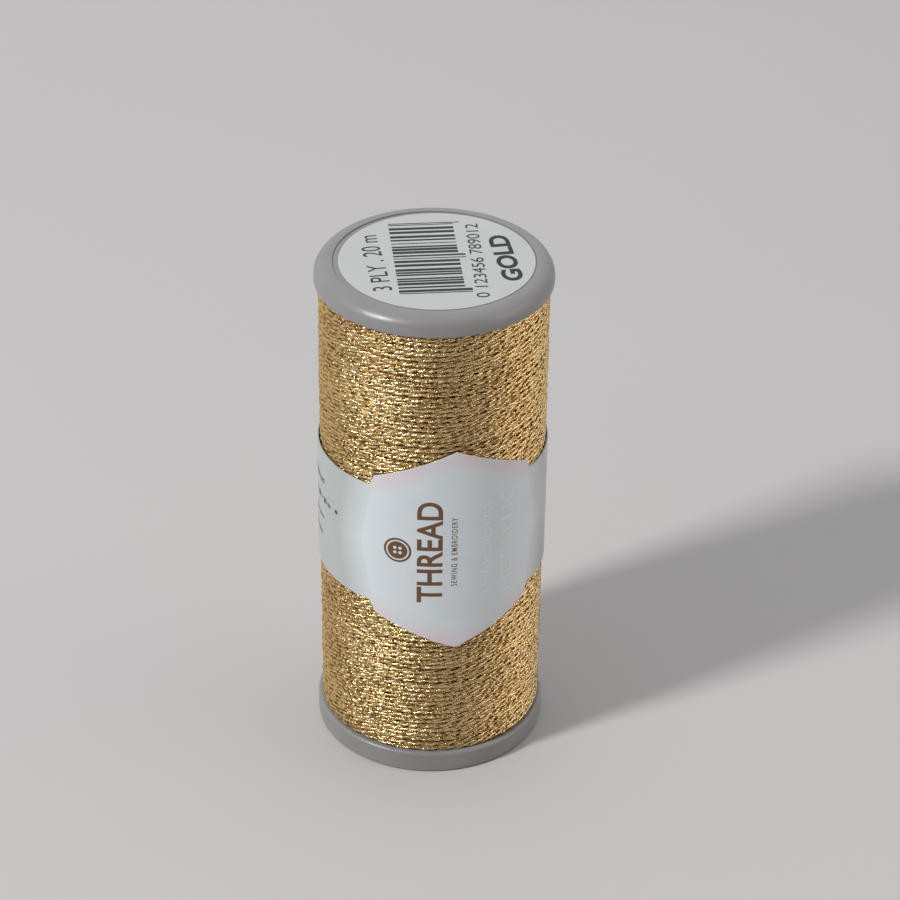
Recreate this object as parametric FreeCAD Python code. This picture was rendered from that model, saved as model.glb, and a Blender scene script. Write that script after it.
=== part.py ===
"""Spool of metallic embroidery thread: a moulded spool with a snap-open base, wound with thread.

Frame: origin at the centre of the base's underside, +Z up the spool, and the middle of the
label's badge faces -Y. Sizes are millimetres.
"""
import FreeCAD, Part

import math
import os

Vector = FreeCAD.Vector
UP = Vector(0, 0, 1)

# Overall sizes
TOTAL_H = 54.95          # underside of the base to the top of the upper flange
FLANGE_R = 12.0          # both end flanges

# Upper flange, moulded in one with the barrel
TOP_FLANGE_T = 2.1
TOP_ROUND = 1.5          # rounding of its outer top edge
RIM_LAND = 0.35          # flat ring between the rounding and the label recess
RECESS_DEPTH = 0.12      # shallow seat for the round label
CEILING_T = 1.4          # thickness of the end wall over the hollow
EDGE_ROUND = 0.3         # broken edges of the mouldings

# Barrel
BARREL_WALL = 1.2
LOWER_FLANGE_T = 0.85
LEAD_IN = 0.4            # chamfer at the mouth of the bore

# Snap-open base, a shallow cup round the lower flange
FLOOR_T = 1.0
CUP_WALL = 0.65
TRAP_GAP = 0.25          # round the lower flange, where the thread's end is held
TRAP_DEPTH = 0.7         # under the lower flange
RIM_GAP = 0.15           # cup rim below the first turn of thread
FOOT_W = 1.6             # width of the ring that the spool stands on
FOOT_RELIEF = 0.3        # depth of the underside inside that ring

# Snap sleeve of the base, which slides in the bore
SLEEVE_FIT = 0.06        # radial running clearance in the bore
SLEEVE_T = 0.9
SLEEVE_TOP = 8.4         # height of its top edge
BEAD_OUT = 0.3           # how far the snap bead stands out
BEAD_H = 0.9
BEAD_DROP = 0.6          # bead below the sleeve's top edge
SNAP_TRAVEL = 1.5        # how far the base pulls open
SNAP_PLAY = 0.05         # bead to groove
SLOT_W = 1.4             # slots that free the four claws
SLOT_COUNT = 4
SLOT_START = 2.0         # above the floor

# Collar for the machine's spool pin
PIN_HOLE_R = 4.0
COLLAR_T = 0.9
COLLAR_TOP = 4.2
RIB_T = 0.8
RIB_H = 1.2              # above the floor
PIN_CHAMFER = 0.4

# Winding
THREAD_INSET = 0.35      # top layer below the flange edge
THREAD_DEPTH = 1.85      # all layers together

# Round paper label on the upper flange
LABEL_T = 0.1
LABEL_PLAY = 0.1
LABEL_SHIFT = 0.25       # stuck on by this much off centre
LABEL_SHIFT_DEG = -12.0  # direction of the shift, from +X

# Belly band: a paper belt with a pointed badge, measured along the paper
PAPER_T = 0.12
PAPER_GAP = 0.02         # paper over the crests of the thread
BAND_LIFT = 0.15         # its middle sits this far above the middle of the winding
BELT_H = 14.0
BADGE_PEAK = 11.85       # middle of the badge to its upper and lower points
BADGE_SHOULDER_H = 8.25  # middle to its shoulders, up
BADGE_SHOULDER_W = 8.5   # middle to its shoulders, sideways
BADGE_FOOT_W = 9.1       # where the short edges meet the belt
OVERLAP_W = 5.0          # glued lap at the back

# Places that follow from the sizes above
foot_h = FLOOR_T + TRAP_DEPTH + LOWER_FLANGE_T
winding_top = TOTAL_H - TOP_FLANGE_T
band_mid = (foot_h + winding_top) / 2 + BAND_LIFT
wound_r = FLANGE_R - THREAD_INSET
barrel_r = wound_r - THREAD_DEPTH
bore_r = barrel_r - BARREL_WALL
lower_flange_r = FLANGE_R - CUP_WALL - TRAP_GAP
recess_r = FLANGE_R - TOP_ROUND - RIM_LAND
label_r = recess_r - LABEL_PLAY - LABEL_SHIFT
label_z = TOTAL_H - RECESS_DEPTH
ceiling_z = label_z - CEILING_T
sleeve_r = bore_r - SLEEVE_FIT
bead_low = SLEEVE_TOP - BEAD_DROP - BEAD_H
collar_r = PIN_HOLE_R + COLLAR_T
paper_in = wound_r + PAPER_GAP
paper_out = paper_in + PAPER_T


def rounded_outline(corners):
    """Closed wire in the XZ plane through corners given as (radius, height, rounding)."""
    points = [Vector(r, 0, z) for r, z, _ in corners]
    ends = []
    arcs = []
    for i, (_, _, rounding) in enumerate(corners):
        here = points[i]
        back = (points[i - 1] - here).normalize()
        ahead = (points[(i + 1) % len(points)] - here).normalize()
        if not rounding:
            ends.append((here, here))
            arcs.append(None)
            continue
        half = back.getAngle(ahead) / 2
        reach = rounding / math.tan(half)
        centre = here + (back + ahead).normalize() * (rounding / math.sin(half))
        start = here + back * reach
        end = here + ahead * reach
        middle = centre + (here - centre).normalize() * rounding
        ends.append((start, end))
        arcs.append(Part.Arc(start, middle, end).toShape())
    edges = []
    for i, arc in enumerate(arcs):
        if arc:
            edges.append(arc)
        leave = ends[i][1]
        arrive = ends[(i + 1) % len(ends)][0]
        if leave.distanceToPoint(arrive) > 1e-6:
            edges.append(Part.makeLine(leave, arrive))
    return Part.Wire(edges)


def turned(corners):
    """Solid turned about Z from an outline of (radius, height, rounding) corners."""
    return Part.Face(rounded_outline(corners)).revolve(Vector(0, 0, 0), UP, 360)


def ring(inner, outer, low, high):
    """Plain ring about Z."""
    return turned([(inner, low, 0), (outer, low, 0), (outer, high, 0), (inner, high, 0)])


def bar(inner, outer, width, low, high, angle):
    """Straight block from one radius to another, pointing at an angle from +X."""
    block = Part.makeBox(outer - inner, width, high - low, Vector(inner, -width / 2, low))
    block.rotate(Vector(0, 0, 0), UP, angle)
    return block


def spool_barrel():
    """Hollow barrel with its two flanges and the groove that the snap bead runs in."""
    under = foot_h - LOWER_FLANGE_T
    groove_low = bead_low - SNAP_TRAVEL - SNAP_PLAY
    groove_high = bead_low + BEAD_H + SNAP_PLAY
    groove_r = sleeve_r + BEAD_OUT + SNAP_PLAY
    ramp = groove_r - bore_r
    return turned([
        (bore_r + LEAD_IN, under, 0),
        (lower_flange_r, under, EDGE_ROUND),
        (lower_flange_r, foot_h, EDGE_ROUND),
        (barrel_r, foot_h, EDGE_ROUND),
        (barrel_r, winding_top, EDGE_ROUND),
        (FLANGE_R, winding_top, EDGE_ROUND),
        (FLANGE_R, TOTAL_H, TOP_ROUND),
        (recess_r, TOTAL_H, 0),
        (recess_r, label_z, 0),
        (PIN_HOLE_R, label_z, 0),
        (PIN_HOLE_R, ceiling_z, EDGE_ROUND),
        (bore_r, ceiling_z, EDGE_ROUND),
        (bore_r, groove_high, 0),
        (groove_r, groove_high - ramp, 0),
        (groove_r, groove_low + ramp, 0),
        (bore_r, groove_low, 0),
        (bore_r, under + LEAD_IN, 0),
    ])


def base_cup():
    """Shallow cup of the base, with its foot ring and the hole for the spool pin."""
    rim = foot_h - RIM_GAP
    foot_in = FLANGE_R - FOOT_W
    cup_in = FLANGE_R - CUP_WALL
    return turned([
        (PIN_HOLE_R + PIN_CHAMFER, FOOT_RELIEF, 0),
        (foot_in, FOOT_RELIEF, 0),
        (foot_in + FOOT_RELIEF, 0, 0),
        (FLANGE_R, 0, EDGE_ROUND),
        (FLANGE_R, rim, EDGE_ROUND),
        (cup_in, rim, 0),
        (cup_in, FLOOR_T, EDGE_ROUND),
        (collar_r, FLOOR_T, 0),
        (collar_r, COLLAR_TOP, 0),
        (PIN_HOLE_R, COLLAR_TOP, 0),
        (PIN_HOLE_R, FOOT_RELIEF + PIN_CHAMFER, 0),
    ])


def snap_sleeve():
    """Slotted sleeve whose four claws carry the snap bead."""
    inner = sleeve_r - SLEEVE_T
    bead_r = sleeve_r + BEAD_OUT
    sleeve = turned([
        (inner, FLOOR_T, 0),
        (sleeve_r, FLOOR_T, 0),
        (sleeve_r, bead_low, 0),
        (bead_r, bead_low + BEAD_OUT, 0),
        (bead_r, bead_low + BEAD_H - BEAD_OUT, 0),
        (sleeve_r, bead_low + BEAD_H, 0),
        (sleeve_r, SLEEVE_TOP, EDGE_ROUND),
        (inner, SLEEVE_TOP, EDGE_ROUND),
    ])
    low = FLOOR_T + SLOT_START
    slots = [bar(inner - 1, FLANGE_R, SLOT_W, low, SLEEVE_TOP + 1, 360 / SLOT_COUNT * i)
             for i in range(SLOT_COUNT)]
    return sleeve.cut(slots)


def snap_base():
    """Base that pulls down to free the thread's end and snaps shut on it."""
    inner = sleeve_r - SLEEVE_T
    half_step = 180 / SLOT_COUNT
    ribs = [bar(PIN_HOLE_R + COLLAR_T / 2, inner + SLEEVE_T / 2, RIB_T, FOOT_RELIEF,
                FLOOR_T + RIB_H, 360 / SLOT_COUNT * i + half_step)
            for i in range(SLOT_COUNT)]
    return base_cup().fuse([snap_sleeve()] + ribs).removeSplitter()


def thread_winding():
    """All the layers of thread, as one closed ring."""
    return turned([
        (barrel_r, foot_h, EDGE_ROUND),
        (wound_r, foot_h, 0),
        (wound_r, winding_top, 0),
        (barrel_r, winding_top, EDGE_ROUND),
    ])


def top_label():
    """Round paper label in the recess of the upper flange."""
    shift = math.radians(LABEL_SHIFT_DEG)
    centre = Vector(LABEL_SHIFT * math.cos(shift), LABEL_SHIFT * math.sin(shift), label_z)
    return Part.makeCylinder(label_r, LABEL_T, centre)


def badge_edge(start, end):
    """Straight edge of the flat paper badge, wrapped and seen from the front as a smooth curve."""
    steps = 4
    points = []
    for i in range(steps + 1):
        along = start[0] + (end[0] - start[0]) * i / steps
        height = start[1] + (end[1] - start[1]) * i / steps
        points.append(Vector(paper_in * math.sin(along / paper_in), 0, height))
    curve = Part.BSplineCurve()
    curve.interpolate(points)
    return curve.toShape()


def badge():
    """Pointed badge, cut from the same thin tube as the belt."""
    corners = [
        (0, BADGE_PEAK),
        (BADGE_SHOULDER_W, BADGE_SHOULDER_H),
        (BADGE_FOOT_W, BELT_H / 2),
        (BADGE_FOOT_W, -BELT_H / 2),
        (BADGE_SHOULDER_W, -BADGE_SHOULDER_H),
        (0, -BADGE_PEAK),
        (-BADGE_SHOULDER_W, -BADGE_SHOULDER_H),
        (-BADGE_FOOT_W, -BELT_H / 2),
        (-BADGE_FOOT_W, BELT_H / 2),
        (-BADGE_SHOULDER_W, BADGE_SHOULDER_H),
    ]
    edges = [badge_edge(corners[i - 1], corners[i]) for i in range(len(corners))]
    stamp = Part.Face(Part.Wire(edges)).extrude(Vector(0, -2 * FLANGE_R, 0))
    stamp.translate(Vector(0, 0, band_mid))
    tube = ring(paper_in, paper_out, band_mid - BADGE_PEAK, band_mid + BADGE_PEAK)
    return tube.common(stamp)


def belly_band():
    """Paper belt glued round the winding, with its badge at the front and its lap at the back."""
    low = band_mid - BELT_H / 2
    high = band_mid + BELT_H / 2
    belt = ring(paper_in, paper_out, low, high)
    lap_angle = math.degrees(OVERLAP_W / paper_out)
    lap = ring(paper_in, paper_out + PAPER_T, low, high)
    wedge = Part.makeCylinder(FLANGE_R, BELT_H, Vector(0, 0, low), UP, lap_angle)
    wedge.rotate(Vector(0, 0, 0), UP, 90 - lap_angle / 2)
    return belt.fuse([lap.common(wedge), badge()]).removeSplitter()


os.makedirs("parts", exist_ok=True)
for make in (spool_barrel, snap_base, thread_winding, top_label, belly_band):
    shape = make()
    shape.exportStep("parts/" + make.__name__ + ".step")
    box = shape.BoundBox
    print(make.__name__, shape.ShapeType, len(shape.Solids), "solid, valid", shape.isValid(),
          "volume %.1f" % shape.Volume, "z %.2f to %.2f" % (box.ZMin, box.ZMax))
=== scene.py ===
"""Spool of metallic embroidery thread: plied thread, paper labels and studio, round the CAD spool.

The file is laid out as an add-on and is run as a script. Everything is in metres, in the frame of
the packed model: +Z up the spool, the badge of the belly band at the front, facing -Y.
"""
import math

import bmesh
import bpy
import numpy as np
from bpy.props import FloatProperty, FloatVectorProperty, IntProperty, PointerProperty, StringProperty
from mathutils import Matrix, Vector


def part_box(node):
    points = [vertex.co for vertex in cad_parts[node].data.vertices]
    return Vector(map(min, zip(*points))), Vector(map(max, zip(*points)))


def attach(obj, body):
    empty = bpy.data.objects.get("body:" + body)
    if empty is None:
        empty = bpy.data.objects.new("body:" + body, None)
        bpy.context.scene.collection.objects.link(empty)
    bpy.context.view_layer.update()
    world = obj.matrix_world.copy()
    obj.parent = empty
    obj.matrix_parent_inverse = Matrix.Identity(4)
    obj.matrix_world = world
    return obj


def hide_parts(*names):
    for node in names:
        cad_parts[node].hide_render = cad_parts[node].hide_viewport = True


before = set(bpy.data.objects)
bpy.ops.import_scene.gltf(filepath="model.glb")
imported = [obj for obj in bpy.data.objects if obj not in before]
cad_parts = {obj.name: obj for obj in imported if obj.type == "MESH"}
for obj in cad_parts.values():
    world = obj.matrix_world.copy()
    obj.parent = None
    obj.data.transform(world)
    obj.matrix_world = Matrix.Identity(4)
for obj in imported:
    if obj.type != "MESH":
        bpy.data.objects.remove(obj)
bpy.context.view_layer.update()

bl_info = {
    "name": "Spool of metallic thread",
    "version": (1, 0, 0),
    "blender": (4, 5, 0),
    "location": "View3D > Sidebar > Thread spool",
    "description": "Builds the wound thread, the paper labels and the studio of a thread spool",
    "category": "Object",
}

MM = 0.001
TURN = 2 * math.pi
SEAT = 0.02 * MM          # paper over the crests of the thread
PLIED_HALF = 1.075        # half the thickness of three touching plies, in ply thicknesses
PRESSED = 0.97            # plies pressed a little into each other
PLY_SHIFT = 1.7 * MM      # keeps the film's wraps on the plies out of step
CLIMB_RUN = 1.6 * MM      # in which the band's outer end climbs over its inner one
GLUE = 0.015 * MM         # under the band's lap
INK_STAND = 0.3           # middle of the ink over the round label, in shares of its thickness

# Places that the CAD model settles
WOUND_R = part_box("thread_winding")[1].x
WOUND_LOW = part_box("thread_winding")[0].z
WOUND_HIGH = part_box("thread_winding")[1].z
BAND_MID = (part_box("belly_band")[0].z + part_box("belly_band")[1].z) / 2
BAND_R = -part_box("belly_band")[0].y
LABEL_LOW, LABEL_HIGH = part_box("top_label")
LABEL_CENTRE = (LABEL_LOW + LABEL_HIGH) / 2
LABEL_R = (LABEL_HIGH.x - LABEL_LOW.x) / 2


def linear(code):
    """Linear colour from an sRGB hex code."""
    values = [int(code[i:i + 2], 16) / 255 for i in (1, 3, 5)]
    return tuple(v / 12.92 if v <= 0.04045 else ((v + 0.055) / 1.055) ** 2.4 for v in values)


def rgba(colour):
    """Colour property as the four numbers that a node socket holds."""
    return (colour[0], colour[1], colour[2], 1.0)


def length(name, description, millimetres):
    """A length property, given in millimetres and held in metres."""
    return FloatProperty(name=name, description=description, default=millimetres * MM,
                         precision=6, unit="LENGTH")


def colour(name, description, code):
    """A colour property from an sRGB hex code."""
    return FloatVectorProperty(name=name, description=description, default=linear(code),
                               subtype="COLOR", min=0, max=1)


# Sizes and colours that a user would change

class ThreadSettings(bpy.types.PropertyGroup):
    """The wound thread."""
    pitch: length("Turn spacing", "Height of one turn of thread on the spool", 0.575)
    plies: IntProperty(name="Plies", description="Strands twisted together", default=3, min=2, max=4)
    lay: length("Ply lay", "Length in which one ply goes once round the thread", 4.2)
    ply_width: length("Ply thickness", "Thickness of one ply", 0.295)
    uneven_twist: FloatProperty(name="Uneven twist", description="Turns of twist gained or lost along "
                                "the thread", default=0.8)
    wander: length("Wander", "How far a turn strays from its level", 0.075)
    loose_wander: length("Loose wander", "Wander in the first turns, near the base", 0.11)
    loose_height: length("Loose height", "How far above the base the turns are loose", 11.0)
    sag: length("Sag", "How far the lowest turns sag towards the base", 0.12)
    sink: length("Sink", "How far a turn sinks below the crest of its neighbours", 0.09)
    wrap: length("Film wrap", "Spacing of the film's wraps along a ply", 0.24)
    film: colour("Film", "Gold lacquer on the metallised film", "#ffe6b0")
    film_deep: colour("Deep film", "Film where the lacquer is thicker", "#ab8446")
    # Core is also the colour of the painted shade in the grooves and between the film's strips.
    core: colour("Core", "Core yarn and shade at the edges of the film", "#6e430e")


class BandSettings(bpy.types.PropertyGroup):
    """The belly band and its badge, measured along the paper."""
    paper: length("Paper", "Thickness of the band", 0.12)
    belt: length("Belt height", "Height of the belt round the spool", 14.0)
    peak: length("Badge point", "Middle of the badge to its upper and lower points", 11.85)
    shoulder_up: length("Shoulder height", "Middle of the badge to its shoulders, up", 8.25)
    shoulder_out: length("Shoulder width", "Middle of the badge to its shoulders, sideways", 8.5)
    foot_out: length("Foot width", "Middle of the badge to where it meets the belt", 9.1)
    side_out: length("Side point", "Middle of the badge print to its side points", 10.15)
    lap: length("Lap", "Glued overlap at the back", 5.0)
    ripple: length("Ripple", "How far the paper stands off the thread", 0.025)
    belt_white: colour("Belt white", "Paper of the belt", "#b4bbbb")
    badge_white: colour("Badge white", "Printed ground of the badge", "#dae4ea")
    blush: colour("Blush", "Pearly pink along the badge's edges", "#e6c9d1")


class PrintSettings(bpy.types.PropertyGroup):
    """What the labels say. All of it is generic."""
    word: StringProperty(name="Word", description="Large word on the badge", default="THREAD")
    caption: StringProperty(name="Caption", description="Small line under the word",
                            default="SEWING & EMBROIDERY")
    faint_wide: StringProperty(name="Faint line", description="Varnished line", default="METALLIC")
    faint_fine: StringProperty(name="Finer faint line", description="Second varnished line",
                               default="EMBROIDERY")
    end_line: StringProperty(name="End line", description="Light line on the round label",
                             default="3 PLY . 20 m")
    end_colour: StringProperty(name="Colour name", description="Bold line on the round label",
                               default="GOLD")
    digits: StringProperty(name="Digits", description="Placeholder digits under the bars",
                           default="0 123456 789012")
    ink: colour("Brown ink", "Ink of the band", "#6a4a2e")
    black: colour("Black ink", "Ink of the round label", "#23262e")
    varnish: colour("Varnish", "Pearly varnish of the faint lines", "#dde3e8")
    grey: colour("Grey ink", "Ink of the belt's small print", "#3f4044")
    relief: length("Ink relief", "Thickness of the printed ink", 0.012)


class PlasticSettings(bpy.types.PropertyGroup):
    """The spool's mouldings and the round label's paper."""
    grey: colour("Plastic grey", "Colour of the moulded spool", "#8e8e8f")
    label_white: colour("Label white", "Paper of the round label", "#c1c6c4")


class StudioSettings(bpy.types.PropertyGroup):
    """The camera, the floor and the lamps."""
    turned: FloatProperty(name="Turn of the view", description="How far left of the badge the camera is",
                          default=math.radians(12.05), subtype="ANGLE")
    back: length("Camera distance", "Level distance from the spool's axis", 263.34)
    height: length("Camera height", "Height over the floor", 201.61)
    pitch: FloatProperty(name="Pitch", description="How far the camera looks down",
                         default=math.radians(32.69), subtype="ANGLE")
    yaw: FloatProperty(name="Yaw", description="How far the camera looks right of the axis",
                       default=math.radians(0.392), subtype="ANGLE")
    roll: FloatProperty(name="Roll", description="Roll of the camera",
                        default=math.radians(0.813), subtype="ANGLE")
    lens: FloatProperty(name="Lens", description="Focal length on a 36 mm sensor", default=121.74)
    floor: colour("Floor", "Pale studio floor", "#c6c5c6")
    key_power: FloatProperty(name="Key lamp", description="Power of the key lamp in watts", default=9.9)
    window_power: FloatProperty(name="Window", description="Power of the wide window lamp in watts",
                                default=0.35)
    key_size: length("Key size", "Width of the key lamp", 160.0)
    fill_power: FloatProperty(name="Fill lamp", description="Power of the fill lamp in watts", default=4.7)
    room: FloatProperty(name="Room light", description="Brightness of the room's back walls", default=0.72)
    front_dim: FloatProperty(name="Dim front", description="Share of the room light behind the camera",
                             default=0.03)
    left_dim: FloatProperty(name="Dim left", description="Share of the room light at the left", default=0.4)
    ceiling: FloatProperty(name="Ceiling", description="Brightness that the ceiling adds", default=0.1)


# Mesh helpers

def smooth_noise(rng, count, places):
    """Smooth random values between -1 and 1, read at places from 0 to count."""
    values = rng.uniform(-1, 1, count + 3)
    low = np.floor(places).astype(int)
    part = places - low
    eased = part * part * (3 - 2 * part)
    return values[low] * (1 - eased) + values[low + 1] * eased


def grid_faces(rows, columns, close_rows=False, close_columns=False):
    """Quads of a grid of rows by columns of points, closed on itself where asked."""
    i = np.arange(rows if close_rows else rows - 1)
    j = np.arange(columns if close_columns else columns - 1)
    a, b = np.meshgrid(i, j, indexing="ij")
    next_a = (a + 1) % rows
    next_b = (b + 1) % columns
    corners = [a * columns + b, next_a * columns + b, next_a * columns + next_b, a * columns + next_b]
    return np.stack(corners, -1).reshape(-1, 4)


def mesh_object(name, points, quads, loop_uv=None):
    """Mesh object from arrays of points and quads."""
    mesh = bpy.data.meshes.new(name)
    mesh.vertices.add(len(points))
    mesh.vertices.foreach_set("co", np.asarray(points, np.float32).ravel())
    mesh.loops.add(quads.size)
    mesh.loops.foreach_set("vertex_index", quads.astype(np.int32).ravel())
    mesh.polygons.add(len(quads))
    mesh.polygons.foreach_set("loop_start", np.arange(0, quads.size, 4, dtype=np.int32))
    mesh.polygons.foreach_set("use_smooth", np.ones(len(quads), bool))
    if loop_uv is not None:
        layer = mesh.uv_layers.new(name="along_and_round")
        layer.data.foreach_set("uv", np.asarray(loop_uv, np.float32).ravel())
    mesh.update(calc_edges=True)
    mesh.validate()
    made = bpy.data.objects.new(name, mesh)
    bpy.context.scene.collection.objects.link(made)
    return made


def finish_piece(piece, material, body="spool"):
    """Give a piece its material and the body that it rides."""
    piece.data.materials.clear()
    piece.data.materials.append(material)
    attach(piece, body)


def on_tube(along, height, radius):
    """Points on a tube about Z, from the distance along its girth and the height."""
    angle = along / BAND_R
    return np.stack([radius * np.sin(angle), -radius * np.cos(angle), height], -1)


def slab(name, along, height, inner, outer):
    """Thin closed sheet on a tube: grids of places along and up, with two radii."""
    rows, columns = along.shape
    top = on_tube(along, height, outer).reshape(-1, 3)
    under = on_tube(along, height, inner).reshape(-1, 3)
    faces = grid_faces(rows, columns)
    step = rows * columns
    index = np.arange(step).reshape(rows, columns)
    rim = np.concatenate([index[:-1, 0], index[-1, :-1], index[:0:-1, -1], index[0, :0:-1]])
    after = np.roll(rim, -1)
    edge = np.stack([rim, rim + step, after + step, after], -1)
    quads = np.concatenate([faces, faces[:, ::-1] + step, edge])
    piece = mesh_object(name, np.concatenate([top, under]), quads)
    tidy = bmesh.new()
    tidy.from_mesh(piece.data)
    bmesh.ops.recalc_face_normals(tidy, faces=tidy.faces)
    tidy.to_mesh(piece.data)
    tidy.free()
    piece.data.set_sharp_from_angle(angle=math.radians(40))
    return piece


# Materials

def add(tree, kind, sockets=None, **settings):
    """Add one node. Sockets takes values or other nodes' outputs, settings the node's own fields."""
    made = tree.nodes.new("ShaderNode" + kind)
    for key, value in settings.items():
        setattr(made, key, value)
    for key, value in (sockets or {}).items():
        if isinstance(value, bpy.types.NodeSocket):
            tree.links.new(value, made.inputs[key])
        else:
            made.inputs[key].default_value = value
    return made


def new_material(name):
    """An empty node material with its output, its tree and its shader."""
    made = bpy.data.materials.new(name)
    made.use_nodes = True
    tree = made.node_tree
    tree.nodes.clear()
    shader = add(tree, "BsdfPrincipled")
    add(tree, "OutputMaterial", {"Surface": shader.outputs["BSDF"]})
    return made, tree, shader


def set_shader(tree, shader, **sockets):
    """Set the shader's sockets; a name's underscores stand for spaces."""
    for key, value in sockets.items():
        socket = shader.inputs[key.replace("_", " ")]
        if isinstance(value, bpy.types.NodeSocket):
            tree.links.new(value, socket)
        else:
            socket.default_value = value


def blend_colours(tree, factor, first, second):
    """Output of a colour mix."""
    made = add(tree, "Mix", data_type="RGBA")
    tree.links.new(factor, made.inputs[0])
    for socket, value in ((made.inputs[6], first), (made.inputs[7], second)):
        if isinstance(value, bpy.types.NodeSocket):
            tree.links.new(value, socket)
        else:
            socket.default_value = value
    return made.outputs[2]


def spread(tree, value, low, high, to_low=0.0, to_high=1.0):
    """A value moved from one range to another, and held inside it."""
    return add(tree, "MapRange", {0: value, 1: low, 2: high, 3: to_low, 4: to_high}).outputs[0]


def maths(tree, operation, first, second=0.0, third=0.0):
    """Output of one arithmetic step."""
    return add(tree, "Math", {0: first, 1: second, 2: third}, operation=operation).outputs[0]


def moulded_polystyrene(settings):
    """Injection-moulded polystyrene: satin, with a faint orange peel and soft rubbed patches."""
    made, tree, shader = new_material("moulded polystyrene")
    place = add(tree, "TexCoord").outputs["Object"]
    # Orange peel of a polished mould, about 0.6 mm across and drawn deeper than it is.
    peel = add(tree, "TexNoise", {"Vector": place, "Scale": 1 / (0.6 * MM), "Detail": 3.0}).outputs[0]
    # Flow clouds in the grey, several millimetres across.
    cloud = add(tree, "TexNoise", {"Vector": place, "Scale": 1 / (7 * MM), "Detail": 4.0}).outputs[0]
    rub = add(tree, "TexNoise", {"Vector": place, "Scale": 1 / (2.2 * MM), "Detail": 6.0,
                                 "Roughness": 0.65}).outputs[0]
    grey = Vector(settings.grey)
    tone = blend_colours(tree, spread(tree, cloud, 0.3, 0.7), rgba(grey * 0.93), rgba(grey * 1.06))
    bump = add(tree, "Bump", {"Height": peel, "Strength": 0.15, "Distance": 0.012 * MM})
    set_shader(tree, shader, Base_Color=tone, Roughness=spread(tree, rub, 0.3, 0.75, 0.29, 0.4),
               IOR=1.59, Normal=bump.outputs[0])
    set_shader(tree, shader, Subsurface_Weight=0.08, Subsurface_Radius=(1.0, 1.0, 1.0),
               Subsurface_Scale=0.6 * MM)
    return made


def metallised_film(settings):
    """Gold-lacquered metallised film wound round each ply: narrow facets, each tilted a little."""
    made, tree, shader = new_material("metallised film thread")
    place = add(tree, "UVMap", uv_map="along_and_round").outputs[0]
    parts = add(tree, "SeparateXYZ", {0: place})
    # u runs along the ply in millimetres and v once round it. Two strips are wound as a steep screw.
    wraps = maths(tree, "MULTIPLY", parts.outputs[0], MM / settings.wrap)
    phase = maths(tree, "MULTIPLY_ADD", parts.outputs[1], -2.0, wraps)
    strip = maths(tree, "FLOOR", phase)
    across = maths(tree, "SUBTRACT", maths(tree, "FRACT", phase), 0.5)
    chance = add(tree, "TexWhiteNoise", {"W": strip}, noise_dimensions="1D")
    # Each facet leans a little along the thread and more round it.
    chances = add(tree, "SeparateXYZ", {0: chance.outputs["Color"]})
    along = add(tree, "Tangent", direction_type="UV_MAP", uv_map="along_and_round").outputs[0]
    smooth = add(tree, "NewGeometry").outputs["Normal"]
    over = add(tree, "VectorMath", {0: smooth, 1: along}, operation="CROSS_PRODUCT").outputs[0]
    leaning = smooth
    for direction, number, most in ((along, 0, 0.06), (over, 1, 1.0)):
        share = maths(tree, "MULTIPLY", maths(tree, "SUBTRACT", chances.outputs[number], 0.5), most)
        leaning = add(tree, "VectorMath", {0: direction, 1: share, 2: leaning},
                      operation="MULTIPLY_ADD").outputs[0]
    leaning = add(tree, "VectorMath", {0: leaning}, operation="NORMALIZE").outputs[0]
    where = add(tree, "TexCoord").outputs["Object"]
    # Creases of the film, about 0.16 mm across.
    crease = add(tree, "TexNoise", {"Vector": where, "Scale": 1 / (0.16 * MM), "Detail": 2.0}).outputs[0]
    bump = add(tree, "Bump", {"Height": crease, "Strength": 1.0, "Distance": 0.04 * MM, "Normal": leaning})
    # The lacquer's thickness changes from facet to facet, and slowly over several millimetres.
    lacquer = add(tree, "TexNoise", {"Vector": where, "Scale": 1 / (3.5 * MM), "Detail": 3.0}).outputs[0]
    shade = maths(tree, "MULTIPLY_ADD", chance.outputs["Value"], 0.8,
                  maths(tree, "MULTIPLY", lacquer, 0.4))
    tone = blend_colours(tree, spread(tree, shade, 0.12, 0.62), rgba(settings.film_deep),
                         rgba(settings.film))
    # The core yarn shows dark between two strips, and painted shade darkens that gap as well.
    seam = spread(tree, maths(tree, "ABSOLUTE", across), 0.36, 0.46, 0.0, 1.0)
    # Painted shade darkens the grooves below the outermost turns to the core colour: depth is measured from
    # the outermost turns.
    flat = add(tree, "VectorMath", {0: where, 1: (1.0, 1.0, 0.0)}, operation="MULTIPLY").outputs[0]
    out = add(tree, "VectorMath", {0: flat}, operation="LENGTH").outputs["Value"]
    painted_groove_shade = spread(tree, out, WOUND_R - 0.5 * MM, WOUND_R - 0.3 * MM, 0.8, 0.0)
    bare_yarn_and_painted_shade = maths(tree, "MAXIMUM", seam, painted_groove_shade)
    tone = blend_colours(tree, bare_yarn_and_painted_shade, tone, rgba(settings.core))
    # Bare yarn and the painted groove shade are dull, and the film between is a mirror that its lacquer
    # tints.
    metal = maths(tree, "SUBTRACT", 1.0, bare_yarn_and_painted_shade)
    gloss = spread(tree, chance.outputs["Value"], 0.0, 1.0, 0.1, 0.26)
    set_shader(tree, shader, Base_Color=tone, Metallic=metal, Roughness=gloss, Normal=bump.outputs[0],
               Specular_IOR_Level=0.15, Specular_Tint=rgba(settings.film))
    return made


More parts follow.
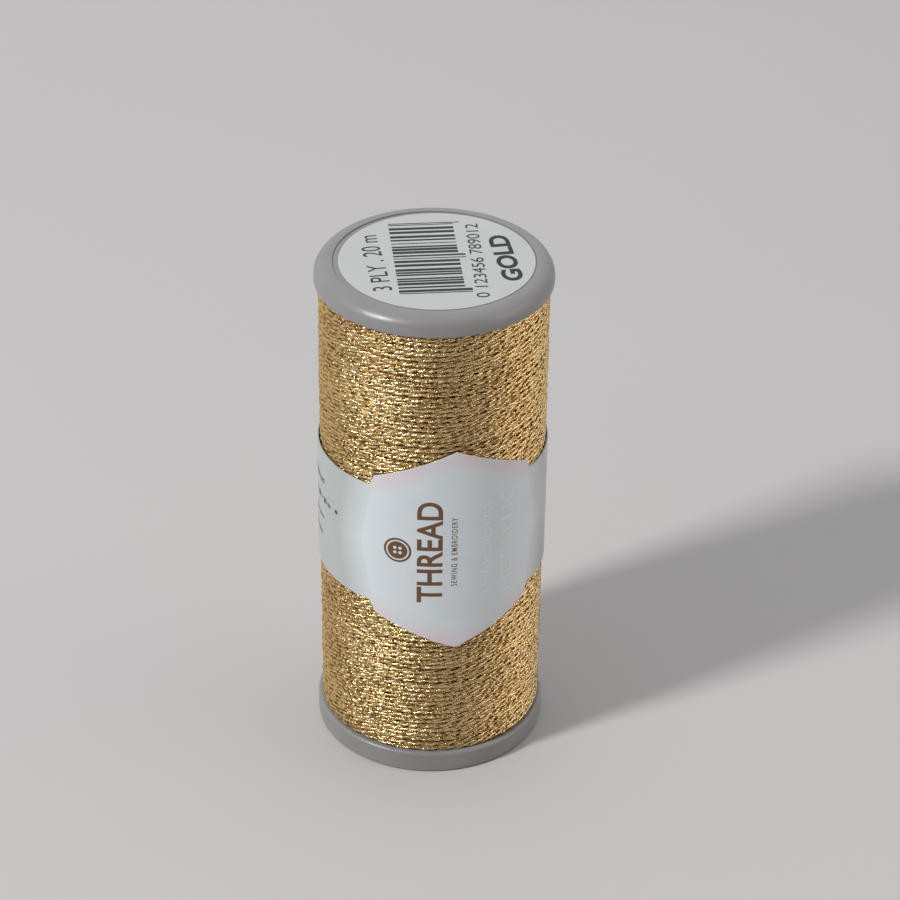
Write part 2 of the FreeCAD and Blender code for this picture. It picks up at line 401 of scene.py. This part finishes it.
def coated_paper(name, ground, edge_tint=None, reach=2.2, least=0.25):
    """Clay-coated paper: smooth with a soft sheen, faint fibres and slightly uneven gloss."""
    made, tree, shader = new_material(name)
    where = add(tree, "TexCoord").outputs["Object"]
    # Fibres about 0.25 mm across under the coating.
    fibre = add(tree, "TexNoise", {"Vector": where, "Scale": 1 / (0.25 * MM), "Detail": 5.0,
                                   "Roughness": 0.6}).outputs[0]
    cloud = add(tree, "TexNoise", {"Vector": where, "Scale": 1 / (4 * MM), "Detail": 3.0}).outputs[0]
    white = Vector(ground)
    tone = blend_colours(tree, spread(tree, cloud, 0.3, 0.7), rgba(white * 0.975), rgba(white * 1.02))
    if edge_tint is not None:
        # The piece's own "edge" attribute is the distance to the tint's edge in millimetres.
        edge = add(tree, "Attribute", attribute_name="edge").outputs["Fac"]
        near = spread(tree, edge, 0.0, reach, 0.85, 0.0)
        patchy = maths(tree, "MULTIPLY", near, spread(tree, cloud, 0.35, 0.65, least, 1.0))
        tone = blend_colours(tree, patchy, tone, rgba(edge_tint))
    bump = add(tree, "Bump", {"Height": fibre, "Strength": 0.3, "Distance": 0.01 * MM})
    set_shader(tree, shader, Base_Color=tone, Roughness=spread(tree, cloud, 0.3, 0.7, 0.28, 0.34),
               Normal=bump.outputs[0])
    return made


def printed_ink(name, ink, gloss=0.45):
    """Offset ink on coated paper: flat colour that thins slightly over the fibres."""
    made, tree, shader = new_material(name)
    where = add(tree, "TexCoord").outputs["Object"]
    speck = add(tree, "TexNoise", {"Vector": where, "Scale": 1 / (0.12 * MM), "Detail": 4.0}).outputs[0]
    tone = blend_colours(tree, spread(tree, speck, 0.45, 0.8), rgba(ink), rgba(Vector(ink) * 1.35))
    set_shader(tree, shader, Base_Color=tone, Roughness=spread(tree, speck, 0.3, 0.7, gloss, gloss + 0.1))
    return made


def studio_paper(settings):
    """Matt studio background paper: pale, even, with the faintest tooth."""
    made, tree, shader = new_material("matt studio paper")
    where = add(tree, "TexCoord").outputs["Object"]
    tooth = add(tree, "TexNoise", {"Vector": where, "Scale": 1 / (0.8 * MM), "Detail": 3.0}).outputs[0]
    cloud = add(tree, "TexNoise", {"Vector": where, "Scale": 1 / (140 * MM), "Detail": 2.0}).outputs[0]
    pale = Vector(settings.floor)
    tone = blend_colours(tree, spread(tree, cloud, 0.3, 0.7), rgba(pale * 0.985), rgba(pale * 1.015))
    bump = add(tree, "Bump", {"Height": tooth, "Strength": 0.1, "Distance": 0.02 * MM})
    set_shader(tree, shader, Base_Color=tone, Roughness=0.85, Specular_IOR_Level=0.25,
               Normal=bump.outputs[0])
    return made


# Thread

def winding_path(settings):
    """Thread's centre line: angles, radii and heights, a twelfth of a lay apart."""
    rng = np.random.default_rng(20)
    half = settings.ply_width * PLIED_HALF
    turns = round((WOUND_HIGH - WOUND_LOW) / settings.pitch)
    pitch = (WOUND_HIGH - WOUND_LOW) / turns
    radius = WOUND_R - half
    step = settings.lay / 12 / radius
    angle = np.arange(0, turns * TURN + step, step)
    turn = angle / TURN
    level = WOUND_LOW + pitch * turn
    loose = np.clip(1 - (level - WOUND_LOW) / settings.loose_height, 0, 1)
    reach = settings.wander + (settings.loose_wander - settings.wander) * np.sqrt(loose)
    # Four random levels in each turn, and one for the whole turn.
    stray = 0.6 * smooth_noise(rng, turns * 4 + 4, turn * 4) + 0.8 * smooth_noise(rng, turns + 4, turn)
    # The lowest turns sag into the gap over the base's rim.
    height = np.clip(level + reach * stray, WOUND_LOW + half - settings.sag, WOUND_HIGH - half)
    sink = settings.sink * (0.5 + 0.5 * smooth_noise(rng, turns * 5 + 4, turn * 5))
    return angle, radius - sink, height


def ply_tubes(settings, angle, radius, height, first, last, ring=8):
    """Points, quads and uv of the plies along one stretch of the thread's centre line."""
    points = []
    faces = []
    uv = []
    start = 0
    rng = np.random.default_rng(7)
    turns = angle[-1] / TURN
    uneven = smooth_noise(rng, int(turns * 6) + 4, angle / TURN * 6)[first:last]
    a = angle[first:last]
    distance = a * (WOUND_R - settings.ply_width)
    offset = settings.ply_width / math.sqrt(3) * PRESSED
    # The thread's two ends are at the back.
    outward = np.stack([-np.sin(a), np.cos(a), np.zeros_like(a)], -1)
    up = np.array([0.0, 0.0, 1.0])
    centre = outward * radius[first:last, None] + height[first:last, None] * up
    for ply in range(settings.plies):
        twist = TURN * (distance / settings.lay + ply / settings.plies + settings.uneven_twist * uneven)
        line = centre + offset * (np.cos(twist)[:, None] * outward + np.sin(twist)[:, None] * up)
        forward = np.gradient(line, axis=0)
        forward /= np.linalg.norm(forward, axis=1, keepdims=True)
        side = outward - forward * np.sum(outward * forward, 1, keepdims=True)
        side /= np.linalg.norm(side, axis=1, keepdims=True)
        down = np.cross(forward, side)
        # The seam of the uv is at the back of the ply, where it isn't seen.
        round_ply = np.linspace(0, 1, ring + 1)
        beta = TURN * (round_ply[:-1] + 0.5)
        half = settings.ply_width / 2
        tube = (line[:, None] + half * (np.cos(beta)[None, :, None] * side[:, None]
                                        + np.sin(beta)[None, :, None] * down[:, None]))
        rows = len(a)
        quads = grid_faces(rows, ring, close_columns=True)
        i = np.repeat(np.arange(rows - 1), ring)
        j = np.tile(np.arange(ring), rows - 1)
        u = (distance + ply * PLY_SHIFT) / MM
        corner = np.stack([np.stack([u[i], round_ply[j]], -1), np.stack([u[i + 1], round_ply[j]], -1),
                           np.stack([u[i + 1], round_ply[j + 1]], -1),
                           np.stack([u[i], round_ply[j + 1]], -1)], 1)
        points.append(tube.reshape(-1, 3))
        faces.append(quads + start)
        uv.append(corner.reshape(-1, 2))
        start += rows * ring
    return np.concatenate(points), np.concatenate(faces), np.concatenate(uv)


class SPOOL_OT_thread(bpy.types.Operator):
    """Wind the plied thread on the spool, over a ridged under layer"""
    bl_idname = "spool.thread"
    bl_label = "Wind thread"

    def execute(self, context):
        settings = context.scene.spool_thread
        film = metallised_film(settings)
        angle, radius, height = winding_path(settings)
        parts = 8
        cuts = np.linspace(0, len(angle) - 1, parts + 1).astype(int)
        for part in range(parts):
            points, quads, uv = ply_tubes(settings, angle, radius, height, cuts[part], cuts[part + 1] + 1)
            piece = mesh_object(f"thread_turns_{part + 1}", points, quads, uv)
            finish_piece(piece, film)
            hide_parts("thread_winding")
        under_layer(settings, film)
        return {"FINISHED"}


def under_layer(settings, film):
    """The layer of thread below, as one ridged ring that shows only in gaps."""
    turns = round((WOUND_HIGH - WOUND_LOW) / settings.pitch)
    across = 6
    around = 192
    level = np.linspace(0, turns, turns * across + 1)
    # Two crests to a turn, with hollows 0.16 mm deep between them.
    crest = WOUND_R - settings.ply_width * 1.65
    ridge = crest - 0.16 * MM * np.cos(level * TURN) ** 2
    height = WOUND_LOW + level / turns * (WOUND_HIGH - WOUND_LOW)
    # The section closes on a plain tube inside.
    inner = WOUND_R - 1.5 * MM
    section_r = np.concatenate([ridge, [inner, inner]])
    section_z = np.concatenate([height, [WOUND_HIGH, WOUND_LOW]])
    angle = np.arange(around) / around * TURN
    points = np.stack([np.outer(np.sin(angle), section_r), -np.outer(np.cos(angle), section_r),
                       np.tile(section_z, (around, 1))], -1)
    quads = grid_faces(around, len(section_r), close_rows=True, close_columns=True)
    i, j = np.meshgrid(np.arange(around), np.arange(len(section_r)), indexing="ij")
    girth = i.ravel() / around * TURN * WOUND_R / MM
    after = girth + 0.4
    low_v = j.ravel() / across
    high_v = low_v + 1 / across
    corner = np.stack([np.stack([girth, low_v], -1), np.stack([after, low_v], -1),
                       np.stack([after, high_v], -1), np.stack([girth, high_v], -1)], 1)
    piece = mesh_object("thread_under_layer", points.reshape(-1, 3), quads, corner.reshape(-1, 2))
    finish_piece(piece, film)
    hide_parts("thread_winding")


# Belly band

def note_edge(piece, distance):
    """Store each point's distance to a printed edge on a sheet, in millimetres, for its material."""
    edge = np.clip(distance / MM, 0, 10).ravel()
    layer = piece.data.attributes.new("edge", "FLOAT", "POINT")
    layer.data.foreach_set("value", np.concatenate([edge, edge]).astype(np.float32))


def half_height(along, settings):
    """Half the height of the paper at a distance from the badge's middle."""
    places = [0, settings.shoulder_out, settings.foot_out, 1.0]
    heights = [settings.peak, settings.shoulder_up, settings.belt / 2, settings.belt / 2]
    return np.interp(np.abs(along), places, heights)


def print_half_height(along, settings):
    """Half the height of the badge's printed ground, a long hexagon with pointed sides."""
    places = [0, settings.shoulder_out, settings.side_out]
    return np.interp(np.abs(along), places, [settings.peak, settings.shoulder_up, 0])


def paper_stand_off(settings, along, height):
    """Soft ripples of the paper over the thread."""
    rng = np.random.default_rng(3)
    girth = along / MM / 5.0 + 12
    up = (height - BAND_MID) / MM / 4.0 + 12
    wave = smooth_noise(rng, 40, girth + 0.4 * np.sin(up)) * 0.6 + smooth_noise(rng, 40, up) * 0.4
    return settings.ripple * 0.5 * (1 + wave)


def columns_between(stops, spacing):
    """Places between stops, evenly spaced in each stretch, with every stop kept."""
    places = []
    for low, high in zip(stops[:-1], stops[1:]):
        count = max(1, math.ceil((high - low) / spacing))
        places.extend(np.linspace(low, high, count, endpoint=False))
    return np.array(places + [stops[-1]])


class SPOOL_OT_belly_band(bpy.types.Operator):
    """Wrap the paper belt round the thread, with its badge at the front and its lap at the back"""
    bl_idname = "spool.belly_band"
    bl_label = "Wrap belly band"

    def execute(self, context):
        settings = context.scene.spool_band
        girth = TURN * BAND_R
        end = (girth + settings.lap) / 2
        stops = [-end, -settings.foot_out, -settings.shoulder_out, 0, settings.shoulder_out,
                 settings.foot_out, end]
        along = columns_between(stops, 0.35 * MM)
        rows = 33
        share = np.linspace(-1, 1, rows)
        reach = half_height(along, settings)
        grid_along = np.repeat(along[:, None], rows, 1)
        grid_height = BAND_MID + reach[:, None] * share[None, :]
        # The outer end climbs over the inner one and lies a paper's thickness further out.
        climb = np.clip((grid_along - (end - settings.lap - CLIMB_RUN)) / CLIMB_RUN, 0, 1)
        climb = climb * climb * (3 - 2 * climb) * (settings.paper + GLUE)
        inner = WOUND_R + SEAT + paper_stand_off(settings, grid_along, grid_height) * (climb == 0)
        inner = inner + climb
        piece = slab("belly_band_paper", grid_along, grid_height, inner, inner + settings.paper)
        # The ground fades into the belt's own white outside the badge.
        level = np.abs(grid_height - BAND_MID)
        lean = (settings.side_out - settings.shoulder_out) / settings.shoulder_up
        note_edge(piece, np.maximum(np.abs(grid_along) - (settings.side_out - level * lean), 0))
        paper = coated_paper("coated band paper", settings.belt_white, settings.badge_white, 3.6, 1.0)
        finish_piece(piece, paper)
        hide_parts("belly_band")
        self.badge_ground(settings)
        return {"FINISHED"}

    def badge_ground(self, settings):
        """The badge's printed ground, with its blush near the outline."""
        inset = 0.06 * MM
        out = settings.side_out - inset
        stops = [-out, -settings.shoulder_out, 0, settings.shoulder_out, out]
        along = columns_between(stops, 0.3 * MM)
        rows = 41
        share = np.linspace(-1, 1, rows)
        reach = np.maximum(print_half_height(along, settings) - inset, 0.02 * MM)
        grid_along = np.repeat(along[:, None], rows, 1)
        grid_height = BAND_MID + reach[:, None] * share[None, :]
        base = WOUND_R + SEAT + settings.paper + paper_stand_off(settings, grid_along, grid_height)
        piece = slab("badge_ground", grid_along, grid_height, base - 0.01 * MM, base + 0.006 * MM)
        slope = (settings.peak - settings.shoulder_up) / settings.shoulder_out
        level = np.abs(grid_height - BAND_MID)
        to_slant = (settings.peak - slope * np.abs(grid_along) - level) / math.hypot(1, slope)
        note_edge(piece, to_slant)
        ground = coated_paper("badge ground print", settings.badge_white, settings.blush)
        finish_piece(piece, ground)


# Print

def flat_letters(text, weight=0.0, spacing=1.0):
    """A mesh of the text lying in XY with its lower left corner at the origin and unit height."""
    curve = bpy.data.curves.new("letters", "FONT")
    curve.body = text
    curve.offset = weight
    curve.space_character = spacing
    curve.extrude = 0.5
    curve.resolution_u = 6
    holder = bpy.data.objects.new("letters", curve)
    bpy.context.scene.collection.objects.link(holder)
    graph = bpy.context.evaluated_depsgraph_get()
    mesh = bpy.data.meshes.new_from_object(holder.evaluated_get(graph))
    bpy.data.objects.remove(holder)
    bpy.data.curves.remove(curve)
    return mesh


def flat_outlines(loops):
    """A mesh filled between closed loops of points in XY, by the even-odd rule."""
    curve = bpy.data.curves.new("outlines", "CURVE")
    curve.dimensions = "2D"
    curve.fill_mode = "BOTH"
    curve.extrude = 0.5
    for loop in loops:
        spline = curve.splines.new("POLY")
        spline.points.add(len(loop) - 1)
        for point, (x, y) in zip(spline.points, loop):
            point.co = (x, y, 0, 1)
        spline.use_cyclic_u = True
    holder = bpy.data.objects.new("outlines", curve)
    bpy.context.scene.collection.objects.link(holder)
    graph = bpy.context.evaluated_depsgraph_get()
    mesh = bpy.data.meshes.new_from_object(holder.evaluated_get(graph))
    bpy.data.objects.remove(holder)
    bpy.data.curves.remove(curve)
    return mesh


def fit_flat(mesh, wide, tall):
    """Scale a flat mesh to a size in millimetres, centred on the origin. Width None keeps its shape."""
    found = np.empty(len(mesh.vertices) * 3, np.float32)
    mesh.vertices.foreach_get("co", found)
    points = found.reshape(-1, 3).astype(float)
    low, high = points[:, :2].min(0), points[:, :2].max(0)
    size = high - low
    scale_y = tall * MM / size[1]
    scale_x = wide * MM / size[0] if wide else scale_y
    points[:, :2] = (points[:, :2] - (low + high) / 2) * [scale_x, scale_y]
    mesh.vertices.foreach_set("co", points.astype(np.float32).ravel())
    mesh.update()
    return mesh


def cut_fine(mesh, axis, spacing):
    """Cut a flat mesh into strips, so that it can bend along one axis."""
    work = bmesh.new()
    work.from_mesh(mesh)
    values = [v.co[axis] for v in work.verts]
    normal = Vector((0, 0, 0))
    normal[axis] = 1
    for place in np.arange(min(values) + spacing, max(values), spacing):
        everything = work.verts[:] + work.edges[:] + work.faces[:]
        bmesh.ops.bisect_plane(work, geom=everything, plane_co=normal * place, plane_no=normal)
    bmesh.ops.triangulate(work, faces=[f for f in work.faces if len(f.verts) > 4])
    work.to_mesh(mesh)
    work.free()


def wrap_print(mesh, name, along, up=0.0, across=False):
    """Lay a flat print on the band, in millimetres along and up from the badge's middle.

    It reads upwards, or across the band.
    """
    band = bpy.context.scene.spool_band
    relief = bpy.context.scene.spool_print.relief
    cut_fine(mesh, 0 if across else 1, 0.3 * MM)
    found = np.empty(len(mesh.vertices) * 3, np.float32)
    mesh.vertices.foreach_get("co", found)
    x, y, depth = found.reshape(-1, 3).astype(float).T
    place = along * MM + (x if across else -y)
    level = BAND_MID + up * MM + (y if across else x)
    base = WOUND_R + SEAT + band.paper + paper_stand_off(band, place, level)
    # The letters are half a unit thick each way, so this stands them on the paper.
    points = on_tube(place, level, base + (depth + 0.5) * relief)
    mesh.vertices.foreach_set("co", points.astype(np.float32).ravel())
    mesh.update()
    mesh.name = name
    piece = bpy.data.objects.new(name, mesh)
    bpy.context.scene.collection.objects.link(piece)
    return piece


def circle(radius, x=0.0, y=0.0, steps=48):
    """Closed loop of points round a centre."""
    return [(x + radius * math.cos(TURN * i / steps), y + radius * math.sin(TURN * i / steps))
            for i in range(steps)]


def button_emblem():
    """Outline of a four-hole sewing button, one unit in radius."""
    holes = [circle(0.13, 0.27 * math.cos(a), 0.27 * math.sin(a), 24)
             for a in (math.pi / 4 + i * math.pi / 2 for i in range(4))]
    return flat_outlines([circle(1.0, steps=64), circle(0.84, steps=64), circle(0.72, steps=64)] + holes)


class SPOOL_OT_band_print(bpy.types.Operator):
    """Print the badge and the belt with generic words and a sewing button"""
    bl_idname = "spool.band_print"
    bl_label = "Print band"

    def execute(self, context):
        words = context.scene.spool_print
        ink = printed_ink("brown offset ink", words.ink)
        varnish = printed_ink("pearl varnish", words.varnish, gloss=0.28)
        grey = printed_ink("grey offset ink", words.grey)
        # On the badge: each print's width, height and distance from the middle.
        word = flat_letters(words.word, weight=0.02)
        caption = flat_letters(words.caption, weight=0.008, spacing=1.25)
        prints = (("badge_word", word, 12.2, 2.6, -2.65, ink),
                  ("badge_caption", caption, 8.3, 0.62, -0.15, ink),
                  ("badge_button", button_emblem(), None, 2.9, -5.95, ink),
                  ("badge_faint_line_1", flat_letters(words.faint_wide), 12.6, 1.5, 5.75, varnish),
                  ("badge_faint_line_2", flat_letters(words.faint_fine), 11.5, 1.0, 3.4, varnish))
        for name, mesh, wide, tall, along, colouring in prints:
            piece = wrap_print(fit_flat(mesh, wide, tall), name, along)
            finish_piece(piece, colouring)
        # On the belt: each line's height, where it ends, its level and its weight.
        lines = (("Metallic thread", 0.75, -16.6, 3.6, 0.0), ("3 ply - 20 m", 0.85, -15.1, 1.3, 0.03),
                 ("Film on viscose core", 0.6, -16.8, -0.9, 0.0), ("For embroidery", 0.6, -17.1, -3.1, 0.0))
        for number, (text, tall, end, up, weight) in enumerate(lines, 1):
            mesh = fit_flat(flat_letters(text, weight=weight), None, tall)
            half_width = max(v.co.x for v in mesh.vertices) / MM
            piece = wrap_print(mesh, f"belt_line_{number}", end - half_width, up, across=True)
            finish_piece(piece, grey)
        dot = fit_flat(flat_outlines([circle(1.0)]), None, 0.5)
        finish_piece(wrap_print(dot, "belt_dot", -13.9, 1.4, across=True), grey)
        return {"FINISHED"}


# Round label

def lay_print(mesh, name, x, y, angle):
    """Lay a flat print on the round label, reading in the direction of the angle."""
    relief = bpy.context.scene.spool_print.relief
    found = np.empty(len(mesh.vertices) * 3, np.float32)
    mesh.vertices.foreach_get("co", found)
    points = found.reshape(-1, 3).astype(float)
    cos, sin = math.cos(angle), math.sin(angle)
    laid = np.stack([x + cos * points[:, 0] - sin * points[:, 1],
                     y + sin * points[:, 0] + cos * points[:, 1],
                     LABEL_HIGH.z + (points[:, 2] + INK_STAND) * relief], -1)
    mesh.vertices.foreach_set("co", laid.astype(np.float32).ravel())
    mesh.update()
    mesh.name = name
    piece = bpy.data.objects.new(name, mesh)
    bpy.context.scene.collection.objects.link(piece)
    return piece


def bar_pattern(wide, tall, digits_gap):
    """Meaningless bars of seeded widths, with longer pairs at the ends and the middle."""
    rng = np.random.default_rng(11)
    count = 95                # narrowest bars that would fit side by side
    unit = wide / count
    bars = []
    place = 0
    while place < count:
        thick = int(rng.integers(1, 4))
        longer = place < 3 or 45 <= place < 50 or place > count - 4
        bars.append((place * unit, min(place + thick, count) * unit, longer))
        place += thick + int(rng.integers(1, 4))
    loops = []
    for low, high, longer in bars:
        bottom = -digits_gap if longer else 0
        loops.append([(low, bottom), (high, bottom), (high, tall), (low, tall)])
    return flat_outlines(loops)


class SPOOL_OT_round_label(bpy.types.Operator):
    """Stick the round paper label on the upper flange and print it"""
    bl_idname = "spool.round_label"
    bl_label = "Stick round label"

    def execute(self, context):
        plastic = context.scene.spool_plastic
        words = context.scene.spool_print
        thick = LABEL_HIGH.z - LABEL_LOW.z
        around = 180
        # From the middle of the top, out over the soft cut edge, and back to the middle below, in mm.
        edge = LABEL_R / MM
        under = thick / MM
        radii = [0.05, 1, 2.5, 4, 5.5, 7, 8.4, edge - 0.25, edge - 0.08, edge - 0.015, edge,
                 edge - 0.02, edge - 0.3, 5, 0.05]
        drops = [0, 0, 0, 0, 0, 0, 0, 0, 0.004, 0.02, 0.05, under, under, under, under]
        angle = np.arange(around) / around * TURN
        r = np.array(radii) * MM
        z = LABEL_HIGH.z - np.array(drops) * MM
        points = np.stack([LABEL_CENTRE.x + np.outer(np.cos(angle), r),
                           LABEL_CENTRE.y + np.outer(np.sin(angle), r),
                           np.tile(z, (around, 1))], -1)
        quads = grid_faces(around, len(r), close_rows=True)
        piece = mesh_object("round_label_paper", points.reshape(-1, 3), quads[:, ::-1])
        bmesh_close(piece)
        finish_piece(piece, coated_paper("coated label paper", plastic.label_white))
        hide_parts("top_label")
        self.print_label(words)
        return {"FINISHED"}

    def print_label(self, words):
        """Two lines, the bars and their digits, which all read nearly the same way."""
        black = printed_ink("black offset ink", words.black)
        # Each print's width and height, its place from the flange's middle, and its direction in degrees.
        name = flat_letters(words.end_colour, weight=0.035)
        prints = (("label_line", flat_letters(words.end_line), 11.2, 1.9, -5.9, 0.5, 87.3),
                  ("label_bars", bar_pattern(14.3, 6.6, 0.7), 14.3, 7.2, -0.35, 0.6, 83.5),
                  ("label_digits", flat_letters(words.digits), 14.9, 1.3, 4.15, -0.8, 82.4),
                  ("label_colour", name, 9.3, 2.1, 7.0, -0.9, 88.0))
        for title, mesh, wide, tall, x, y, angle in prints:
            piece = lay_print(fit_flat(mesh, wide, tall), title, x * MM, y * MM, math.radians(angle))
            finish_piece(piece, black)


def bmesh_close(piece):
    """Close the small holes at the middle of a turned piece."""
    work = bmesh.new()
    work.from_mesh(piece.data)
    bmesh.ops.holes_fill(work, edges=[e for e in work.edges if e.is_boundary])
    bmesh.ops.recalc_face_normals(work, faces=work.faces)
    work.to_mesh(piece.data)
    work.free()


# Plastic

class SPOOL_OT_mouldings(bpy.types.Operator):
    """Give the CAD mouldings their satin plastic"""
    bl_idname = "spool.mouldings"
    bl_label = "Finish mouldings"

    def execute(self, context):
        plastic = moulded_polystyrene(context.scene.spool_plastic)
        for name in ("spool_barrel", "snap_base"):
            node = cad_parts[name]
            for slot in node.material_slots:
                slot.material = plastic
        return {"FINISHED"}


# Studio

def toward(azimuth, elevation, turned):
    """Direction to a lamp: azimuth is measured from the camera's side, to the right."""
    level = math.cos(elevation)
    return Vector((math.sin(azimuth - turned) * level, -math.cos(azimuth - turned) * level,
                   math.sin(elevation)))


def area_lamp(name, azimuth, elevation, distance, size, power, tint, turned, shape="SQUARE", tall=0.0):
    """A soft lamp aimed at the middle of the spool. Angles are in degrees."""
    data = bpy.data.lights.new(name, "AREA")
    data.shape = shape
    data.size = size
    data.size_y = tall
    data.energy = power
    data.color = linear(tint)
    lamp = bpy.data.objects.new(name, data)
    bpy.context.scene.collection.objects.link(lamp)
    direction = toward(math.radians(azimuth), math.radians(elevation), turned)
    aim = Vector((0, 0, BAND_MID))
    lamp.location = aim + direction * distance
    lamp.rotation_euler = direction.to_track_quat("Z", "Y").to_euler()


class SPOOL_OT_stage(bpy.types.Operator):
    """Make the floor, the lamps, the room light and the camera"""
    bl_idname = "spool.stage"
    bl_label = "Set stage"

    def execute(self, context):
        settings = context.scene.spool_studio
        self.make_floor(settings)
        self.make_room(settings)
        turned = settings.turned
        # Azimuth and elevation in degrees, then the distance and the size in metres.
        area_lamp("key_lamp", -59, 39, 1.2, settings.key_size, settings.key_power, "#fffcf8", turned, "DISK")
        area_lamp("window_lamp", -32, 42, 1.2, 0.75, settings.window_power, "#fdfdff", turned,
                  "RECTANGLE", 0.15)
        area_lamp("fill_lamp", 78, 14, 1.5, 1.0, settings.fill_power, "#ffe8d0", turned)
        self.make_camera(settings)
        context.scene.view_settings.view_transform = "Standard"
        return {"FINISHED"}

    def make_floor(self, settings):
        """A wide flat sheet of paper under the spool."""
        half = 1.5
        lines = np.linspace(-half, half, 25)
        x, y = np.meshgrid(lines, lines, indexing="ij")
        points = np.stack([x, y, np.zeros_like(x)], -1).reshape(-1, 3)
        floor = mesh_object("studio_floor", points, grid_faces(25, 25))
        floor.data.materials.append(studio_paper(settings))

    def make_room(self, settings):
        """A pale room: bright at the back, dim behind the camera and at the left, with a soft ceiling."""
        world = bpy.data.worlds.new("studio room")
        world.use_nodes = True
        tree = world.node_tree
        tree.nodes.clear()
        way = add(tree, "TexCoord").outputs["Generated"]
        strength = settings.room
        # Each dim side's azimuth, the facing between which it fades, and the share of light left there.
        dim_sides = ((12, 0.05, 0.85, settings.front_dim), (-70, 0.1, 0.95, settings.left_dim))
        for side, low, high, share in dim_sides:
            dim_side = toward(math.radians(side), 0, settings.turned)
            facing = add(tree, "VectorMath", {0: way, 1: dim_side}, operation="DOT_PRODUCT").outputs["Value"]
            strength = maths(tree, "MULTIPLY", strength, spread(tree, facing, low, high, 1.0, share))
        above = add(tree, "SeparateXYZ", {0: way}).outputs["Z"]
        ceiling = spread(tree, above, 0.5, 0.95, 0.0, settings.ceiling)
        strength = maths(tree, "ADD", strength, ceiling)
        sky = add(tree, "Background", {"Color": rgba(linear("#f6f7fa")), "Strength": strength})
        add(tree, "OutputWorld", {"Surface": sky.outputs[0]})
        bpy.context.scene.world = world

    def make_camera(self, settings):
        """The camera, at the left of the badge and looking down."""
        cos_p, sin_p = math.cos(settings.pitch), math.sin(settings.pitch)
        forward = Vector((math.sin(settings.yaw) * cos_p, math.cos(settings.yaw) * cos_p, -sin_p))
        right = Vector((math.cos(settings.yaw), -math.sin(settings.yaw), 0))
        up = right.cross(forward)
        cos_r, sin_r = math.cos(settings.roll), math.sin(settings.roll)
        rolled_right = cos_r * right + sin_r * up
        rolled_up = cos_r * up - sin_r * right
        pose = Matrix((rolled_right, rolled_up, -forward)).transposed().to_4x4()
        pose.translation = Vector((0, -settings.back, settings.height))
        data = bpy.data.cameras.new("camera")
        data.lens = settings.lens
        data.sensor_width = 36
        data.clip_start = 0.01
        data.clip_end = 10
        camera = bpy.data.objects.new("camera", data)
        bpy.context.scene.collection.objects.link(camera)
        camera.matrix_world = Matrix.Rotation(-settings.turned, 4, "Z") @ pose
        bpy.context.scene.camera = camera


class SPOOL_PT_panel(bpy.types.Panel):
    """Sidebar panel with every step and its settings"""
    bl_idname = "SPOOL_PT_panel"
    bl_label = "Thread spool"
    bl_space_type = "VIEW_3D"
    bl_region_type = "UI"
    bl_category = "Thread spool"

    def draw(self, context):
        for kind in OPERATORS:
            self.layout.operator(kind.bl_idname)
        for attribute, group in GROUPS.items():
            box = self.layout.box()
            box.label(text=group.__doc__)
            for field in group.__annotations__:
                box.prop(getattr(context.scene, attribute), field)


GROUPS = {
    "spool_thread": ThreadSettings,
    "spool_band": BandSettings,
    "spool_print": PrintSettings,
    "spool_plastic": PlasticSettings,
    "spool_studio": StudioSettings,
}
OPERATORS = (SPOOL_OT_mouldings, SPOOL_OT_thread, SPOOL_OT_belly_band, SPOOL_OT_band_print,
             SPOOL_OT_round_label, SPOOL_OT_stage)
CLASSES = (*GROUPS.values(), *OPERATORS, SPOOL_PT_panel)


def register():
    """Register the classes and hang the settings on the scene."""
    for kind in CLASSES:
        bpy.utils.register_class(kind)
    for attribute, group in GROUPS.items():
        setattr(bpy.types.Scene, attribute, PointerProperty(type=group))


def unregister():
    """Take the settings and the classes away again."""
    for attribute in GROUPS:
        delattr(bpy.types.Scene, attribute)
    for kind in reversed(CLASSES):
        bpy.utils.unregister_class(kind)


def main():
    """Build every piece in order."""
    register()
    bpy.ops.spool.mouldings()
    bpy.ops.spool.thread()
    bpy.ops.spool.belly_band()
    bpy.ops.spool.band_print()
    bpy.ops.spool.round_label()
    bpy.ops.spool.stage()


if __name__ == "__main__":
    main()
